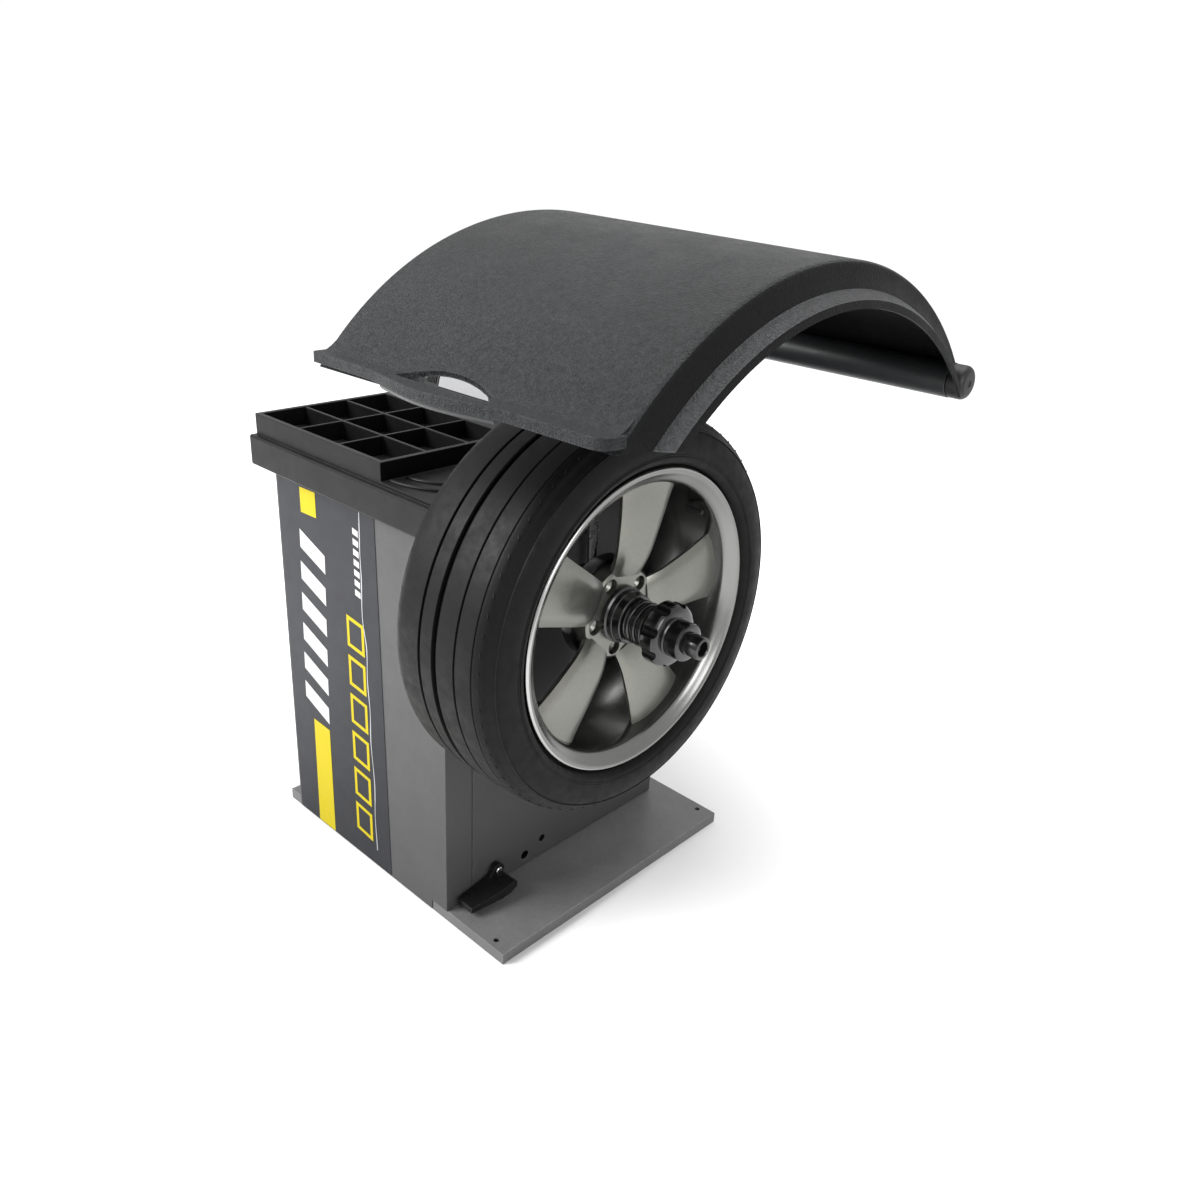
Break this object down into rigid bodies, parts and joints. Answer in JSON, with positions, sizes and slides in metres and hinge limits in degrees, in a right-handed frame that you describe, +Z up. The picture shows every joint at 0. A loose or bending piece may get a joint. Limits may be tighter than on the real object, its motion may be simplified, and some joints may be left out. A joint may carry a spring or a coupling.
{
  "type": "wheel balancer machine",
  "caption": "Floor-standing wheel balancer: cabinet on a base plate, driven spindle with a clamped wheel, hinged wheel guard, weight tray, console, foot brake and rim gauge.",
  "frame": {"origin": "middle of the base plate, on the floor", "axes": "+X along the spindle towards the wheel, +Y towards the back of the machine, +Z up"},
  "size_m": [1.0646, 0.8346, 1.2212],
  "materials": {
    "grey_paint": "satin powder coat",
    "black_paint": "satin paint",
    "black_plastic": "moulded, fine grain",
    "guard_plastic": "leather-grained sheet plastic",
    "panel_plastic": "satin overlay",
    "vinyl": "printed vinyl",
    "bare_steel": "machined",
    "black_steel": "black oxide",
    "chrome": "polished",
    "tyre_rubber": "matt",
    "rubber": "matt",
    "display": "smoked window",
    "board": "solder mask",
    "key": "silicone",
    "key_green": "silicone",
    "key_red": "silicone",
    "rocker_red": "moulded"
  },
  "bodies": {
    "machine": {"base_plate": "grey_paint", "cabinet_body": "grey_paint", "front_panel": "grey_paint", "front_decal": "vinyl", "side_panel": "grey_paint", "rear_cover": "grey_paint", "support_frame": "black_paint", "bearing_housing": "black_paint", "front_bearing": "bare_steel", "rear_bearing": "bare_steel", "motor_body": "black_paint", "motor_bracket": "black_paint", "drive_belt": "rubber", "weight_tray": "black_plastic", "tray_dividers": "black_plastic", "console_housing": "black_plastic", "face_plate": "panel_plastic", "display_window_1": "display", "display_window_2": "display", "display_board": "board", "hood_post_left": "black_paint", "hood_post_right": "black_paint", "hood_spring": "bare_steel", "hood_switch": "black_plastic", "pedal_bearing": "black_paint", "brake_caliper": "black_paint", "brake_cable": "rubber", "gauge_bush": "black_plastic", "gauge_rail": "bare_steel", "mains_module": "black_plastic", "control_box": "black_plastic"},
    "spindle": {"spindle_shaft": "black_steel", "spindle_flange": "black_steel", "drive_pulley": "bare_steel", "encoder_disc": "bare_steel", "brake_disc": "bare_steel", "wheel_rim": "chrome", "tyre": "tyre_rubber", "centering_cone": "bare_steel", "cone_spring": "bare_steel", "pressure_cup": "black_plastic"},
    "nut": {"quick_nut": "black_steel"},
    "motor_rotor": {"motor_pulley": "bare_steel"},
    "hood": {"wheel_hood": "guard_plastic", "hinge_tube": "black_paint", "tube_cap": "black_plastic", "hood_cam": "bare_steel"},
    "pedal": {"foot_pedal": "black_plastic", "pedal_pin": "bare_steel", "brake_crank": "bare_steel"},
    "gauge_slider": {"gauge_carriage": "black_plastic"},
    "gauge_arm": {"gauge_rod": "bare_steel"},
    "rocker": {"power_rocker": "rocker_red"},
    "key_1": {"key_1": "key"},
    "key_2": {"key_2": "key"},
    "key_3": {"key_3": "key"},
    "key_4": {"key_4": "key"},
    "stop_key": {"stop_key": "key_red"},
    "start_key": {"start_key": "key_green"}
  },
  "joints": [
    {"name": "spindle_spin", "type": "hinge", "parent": "machine", "child": "spindle", "pos_m": [0.372, -0.121, 0.643], "axis": [1, 0, 0], "continuous": true},
    {"name": "motor_spin", "type": "hinge", "parent": "machine", "child": "motor_rotor", "pos_m": [-0.11, -0.121, 0.4], "axis": [1, 0, 0], "continuous": true},
    {"name": "nut_slide", "type": "slide", "parent": "spindle", "child": "nut", "axis": [1, 0, 0], "range_m": [0, 0.06]},
    {"name": "hood_hinge", "type": "hinge", "parent": "machine", "child": "hood", "pos_m": [0.193, 0.236, 1.0225], "axis": [-1, 0, 0], "range_deg": [0, 65]},
    {"name": "pedal_press", "type": "hinge", "parent": "machine", "child": "pedal", "pos_m": [0.185, -0.19, 0.062], "axis": [1, 0, 0], "range_deg": [0, 5], "stiffness_Nm_per_rad": 8, "springref_deg": -6.88},
    {"name": "gauge_slide", "type": "slide", "parent": "machine", "child": "gauge_slider", "axis": [1, 0, 0], "range_m": [0, 0.11]},
    {"name": "gauge_turn", "type": "hinge", "parent": "gauge_slider", "child": "gauge_arm", "pos_m": [0.185, 0.009, 0.703], "axis": [1, 0, 0], "range_deg": [0, 30]},
    {"name": "power_switch", "type": "hinge", "parent": "machine", "child": "rocker", "pos_m": [-0.21, 0.277, 0.151], "axis": [-1, 0, 0], "range_deg": [0, 14]},
    {"name": "key_1_press", "type": "slide", "parent": "machine", "child": "key_1", "axis": [0, 0.9659, -0.2588], "range_m": [0, 0.0015], "stiffness_N_per_m": 500, "springref_m": -0.001},
    {"name": "key_2_press", "type": "slide", "parent": "machine", "child": "key_2", "axis": [0, 0.9659, -0.2588], "range_m": [0, 0.0015], "stiffness_N_per_m": 500, "springref_m": -0.001},
    {"name": "key_3_press", "type": "slide", "parent": "machine", "child": "key_3", "axis": [0, 0.9659, -0.2588], "range_m": [0, 0.0015], "stiffness_N_per_m": 500, "springref_m": -0.001},
    {"name": "key_4_press", "type": "slide", "parent": "machine", "child": "key_4", "axis": [0, 0.9659, -0.2588], "range_m": [0, 0.0015], "stiffness_N_per_m": 500, "springref_m": -0.001},
    {"name": "stop_key_press", "type": "slide", "parent": "machine", "child": "stop_key", "axis": [0, 0.9659, -0.2588], "range_m": [0, 0.0015], "stiffness_N_per_m": 500, "springref_m": -0.001},
    {"name": "start_key_press", "type": "slide", "parent": "machine", "child": "start_key", "axis": [0, 0.9659, -0.2588], "range_m": [0, 0.0015], "stiffness_N_per_m": 500, "springref_m": -0.001}
  ],
  "couplings": [
    {"joint": "motor_spin", "follows": "spindle_spin", "ratio": 4.5}
  ]
}
